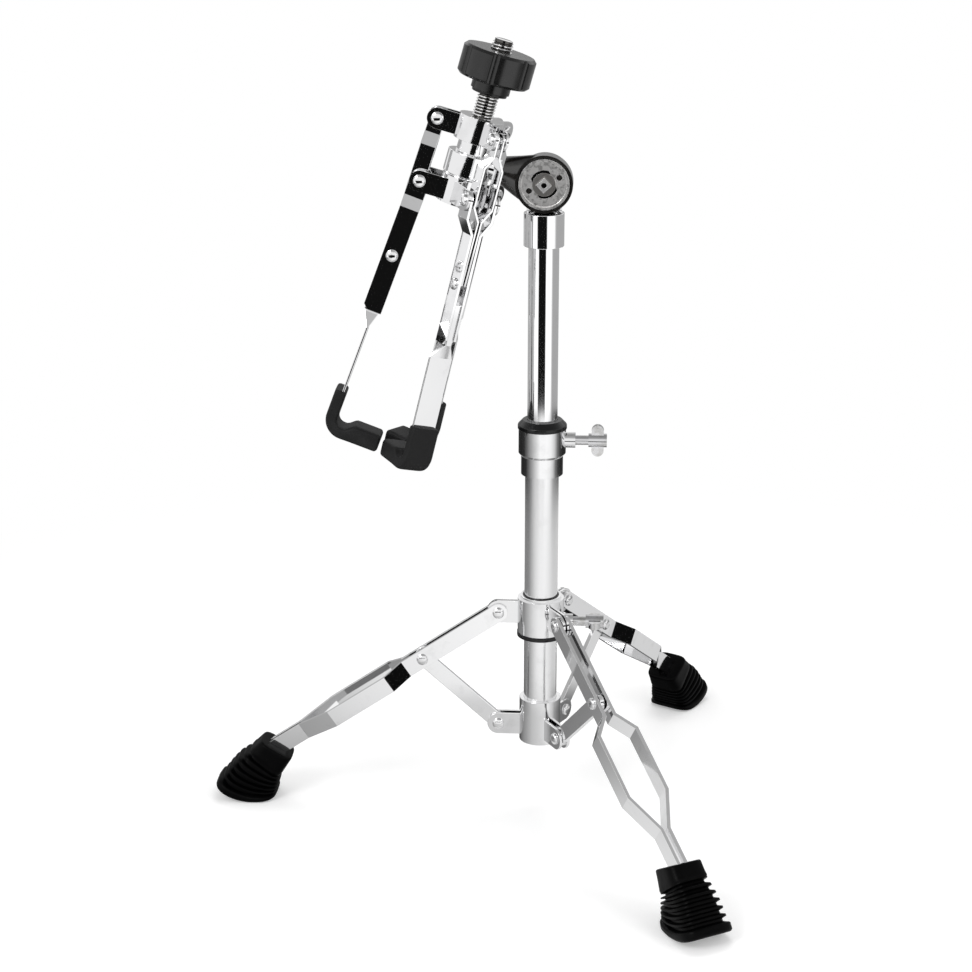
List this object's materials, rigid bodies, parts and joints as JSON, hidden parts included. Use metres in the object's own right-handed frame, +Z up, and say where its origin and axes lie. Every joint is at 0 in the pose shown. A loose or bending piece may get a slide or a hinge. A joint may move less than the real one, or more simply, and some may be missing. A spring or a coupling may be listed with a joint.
{
  "type": "snare drum stand",
  "caption": "Chrome tripod stand with a height-adjustable mast, a tilter and a folding basket of rubber-booted arms that grips a drum, folded and turned down beside the mast.",
  "frame": {"origin": "floor point under the axis of the upright tube", "axes": "+Z up along the tube, +X away from the folded basket, -Y towards the viewer of the picture"},
  "size_m": [0.45, 0.5152, 0.67],
  "materials": {
    "chrome": "polished chrome plate",
    "zinc_steel": "bright zinc plate",
    "black_enamel": "semi-gloss black enamel",
    "black_steel": "black oxide",
    "black_nylon": "matt moulded nylon",
    "black_plastic": "semi-gloss moulded plastic",
    "black_rubber": "matt moulded rubber"
  },
  "bodies": {
    "base": {"base_tube": "chrome", "base_hub": "chrome", "brace_rivets": "chrome", "height_collar": "chrome"},
    "height_swivel": {"height_bush": "black_nylon"},
    "height_pad": {"height_pad": "black_nylon"},
    "height_screw": {"height_wing_screw": "chrome"},
    "leg_slider": {"leg_collar": "chrome", "leg_collar_bush": "black_nylon", "leg_rivets": "chrome"},
    "leg_pad": {"leg_pad": "black_nylon"},
    "leg_screw": {"leg_wing_screw": "chrome"},
    "mast": {"mast_tube": "chrome", "tilter_sleeve": "chrome", "tilter_base": "chrome", "tilter_bolt": "chrome", "friction_disc": "black_nylon"},
    "tilter_washer": {"tilter_washer": "zinc_steel"},
    "tilter_nut": {"tilter_wing_nut": "chrome"},
    "basket": {"tilter_arm": "black_enamel", "tilter_ferrule": "chrome", "basket_hub": "chrome", "arm_collar": "chrome", "arm_rivets": "chrome", "threaded_rod": "zinc_steel", "set_screws": "black_steel"},
    "spreader": {"spreader_collar": "chrome", "link_rivets": "chrome"},
    "knob_washer": {"knob_washer": "black_nylon"},
    "knob": {"knob": "black_plastic"},
    "leg_1": {"leg_1_bar_left": "chrome", "leg_1_bar_right": "chrome", "leg_1_foot": "black_rubber", "leg_1_knee_rivet": "chrome"},
    "brace_1": {"brace_1": "chrome"},
    "arm_1": {"arm_1_bars": "chrome", "arm_1_strip": "chrome", "arm_1_boot": "black_rubber", "arm_1_rivet": "chrome"},
    "link_1": {"link_1": "chrome"},
    "leg_2": {"leg_2_bar_left": "chrome", "leg_2_bar_right": "chrome", "leg_2_foot": "black_rubber", "leg_2_knee_rivet": "chrome"},
    "brace_2": {"brace_2": "chrome"},
    "arm_2": {"arm_2_bars": "chrome", "arm_2_strip": "chrome", "arm_2_boot": "black_rubber", "arm_2_rivet": "chrome"},
    "link_2": {"link_2": "chrome"},
    "leg_3": {"leg_3_bar_left": "chrome", "leg_3_bar_right": "chrome", "leg_3_foot": "black_rubber", "leg_3_knee_rivet": "chrome"},
    "brace_3": {"brace_3": "chrome"},
    "arm_3": {"arm_3_bars": "chrome", "arm_3_strip": "chrome", "arm_3_boot": "black_rubber", "arm_3_rivet": "chrome"},
    "link_3": {"link_3": "chrome"}
  },
  "joints": [
    {"name": "tripod_fold", "type": "slide", "parent": "base", "child": "leg_slider", "axis": [0, 0, 1], "range_m": [0, 0.062]},
    {"name": "leg_1_pivot", "type": "hinge", "parent": "leg_slider", "child": "leg_1", "pos_m": [-0.0365, 0, 0.1802], "axis": [0, -1, 0], "range_deg": [0, 44.68]},
    {"name": "brace_1_pivot", "type": "hinge", "parent": "base", "child": "brace_1", "pos_m": [-0.0365, 0, 0.0754], "axis": [0, 1, 0], "range_deg": [0, 37.98]},
    {"name": "leg_2_pivot", "type": "hinge", "parent": "leg_slider", "child": "leg_2", "pos_m": [0.01825, -0.03161, 0.1802], "axis": [0.866, 0.5, 0], "range_deg": [0, 44.68]},
    {"name": "brace_2_pivot", "type": "hinge", "parent": "base", "child": "brace_2", "pos_m": [0.01825, -0.03161, 0.0754], "axis": [-0.866, -0.5, 0], "range_deg": [0, 37.98]},
    {"name": "leg_3_pivot", "type": "hinge", "parent": "leg_slider", "child": "leg_3", "pos_m": [0.01825, 0.03161, 0.1802], "axis": [-0.866, 0.5, 0], "range_deg": [0, 44.68]},
    {"name": "brace_3_pivot", "type": "hinge", "parent": "base", "child": "brace_3", "pos_m": [0.01825, 0.03161, 0.0754], "axis": [0.866, -0.5, 0], "range_deg": [0, 37.98]},
    {"name": "mast_swivel", "type": "hinge", "parent": "base", "child": "height_swivel", "pos_m": [0, 0, 0.346], "axis": [0, 0, 1], "continuous": true},
    {"name": "mast_height", "type": "slide", "parent": "height_swivel", "child": "mast", "axis": [0, 0, 1], "range_m": [-0.1, 0.1]},
    {"name": "basket_tilt", "type": "hinge", "parent": "mast", "child": "basket", "pos_m": [0, 0, 0.554], "axis": [0, 1, 0], "range_deg": [-8, 165]},
    {"name": "basket_spread", "type": "slide", "parent": "basket", "child": "spreader", "axis": [0.2756, 0, 0.9613], "range_m": [0, 0.016]},
    {"name": "arm_1_pivot", "type": "hinge", "parent": "basket", "child": "arm_1", "pos_m": [-0.1007, 0, 0.55656], "axis": [0, 1, 0], "range_deg": [0, 51.71]},
    {"name": "link_1_pivot", "type": "hinge", "parent": "spreader", "child": "link_1", "pos_m": [-0.0865, 0, 0.60606], "axis": [0, 1, 0], "range_deg": [0, 25.65]},
    {"name": "arm_2_pivot", "type": "hinge", "parent": "basket", "child": "arm_2", "pos_m": [-0.05095, -0.02988, 0.54229], "axis": [-0.8325, -0.5, 0.2387], "range_deg": [0, 51.71]},
    {"name": "link_2_pivot", "type": "hinge", "parent": "spreader", "child": "link_2", "pos_m": [-0.03676, -0.02988, 0.59179], "axis": [-0.8325, -0.5, 0.2387], "range_deg": [0, 25.65]},
    {"name": "arm_3_pivot", "type": "hinge", "parent": "basket", "child": "arm_3", "pos_m": [-0.05095, 0.02988, 0.54229], "axis": [0.8325, -0.5, -0.2387], "range_deg": [0, 51.71]},
    {"name": "link_3_pivot", "type": "hinge", "parent": "spreader", "child": "link_3", "pos_m": [-0.03676, 0.02988, 0.59179], "axis": [0.8325, -0.5, -0.2387], "range_deg": [0, 25.65]},
    {"name": "knob_lift", "type": "slide", "parent": "basket", "child": "knob_washer", "axis": [0.2756, 0, 0.9613], "range_m": [-0.0025, 0.0075]},
    {"name": "knob_turn", "type": "hinge", "parent": "knob_washer", "child": "knob", "pos_m": [-0.03878, 0, 0.64731], "axis": [0.2756, 0, 0.9613], "range_deg": [-378, 1134]},
    {"name": "height_pad_slide", "type": "slide", "parent": "base", "child": "height_pad", "axis": [1, 0, 0], "range_m": [0, 0.0025]},
    {"name": "height_screw_turn", "type": "hinge", "parent": "height_pad", "child": "height_screw", "pos_m": [0.03, 0, 0.336], "axis": [1, 0, 0], "range_deg": [0, 756]},
    {"name": "leg_pad_slide", "type": "slide", "parent": "leg_slider", "child": "leg_pad", "axis": [1, 0, 0], "range_m": [0, 0.0025]},
    {"name": "leg_screw_turn", "type": "hinge", "parent": "leg_pad", "child": "leg_screw", "pos_m": [0.03, 0, 0.172], "axis": [1, 0, 0], "range_deg": [0, 756]},
    {"name": "tilter_washer_slide", "type": "slide", "parent": "mast", "child": "tilter_washer", "axis": [0, 1, 0], "range_m": [0, 0.0025]},
    {"name": "tilter_nut_turn", "type": "hinge", "parent": "tilter_washer", "child": "tilter_nut", "pos_m": [0, 0, 0.554], "axis": [0, 1, 0], "range_deg": [0, 756]}
  ],
  "couplings": [
    {"joint": "leg_1_pivot", "follows": "tripod_fold", "rad_per_m": 12.575},
    {"joint": "brace_1_pivot", "follows": "tripod_fold", "rad_per_m": 10.689},
    {"joint": "leg_2_pivot", "follows": "tripod_fold", "rad_per_m": 12.575},
    {"joint": "brace_2_pivot", "follows": "tripod_fold", "rad_per_m": 10.689},
    {"joint": "leg_3_pivot", "follows": "tripod_fold", "rad_per_m": 12.575},
    {"joint": "brace_3_pivot", "follows": "tripod_fold", "rad_per_m": 10.689},
    {"joint": "arm_1_pivot", "follows": "basket_spread", "rad_per_m": 56.396},
    {"joint": "link_1_pivot", "follows": "basket_spread", "rad_per_m": 27.966},
    {"joint": "arm_2_pivot", "follows": "basket_spread", "rad_per_m": 56.396},
    {"joint": "link_2_pivot", "follows": "basket_spread", "rad_per_m": 27.966},
    {"joint": "arm_3_pivot", "follows": "basket_spread", "rad_per_m": 56.396},
    {"joint": "link_3_pivot", "follows": "basket_spread", "rad_per_m": 27.966},
    {"joint": "knob_turn", "follows": "knob_lift", "rad_per_m": 2513.3},
    {"joint": "height_screw_turn", "follows": "height_pad_slide", "rad_per_m": 5026.5},
    {"joint": "leg_screw_turn", "follows": "leg_pad_slide", "rad_per_m": 5026.5},
    {"joint": "tilter_nut_turn", "follows": "tilter_washer_slide", "rad_per_m": 5026.5}
  ]
}
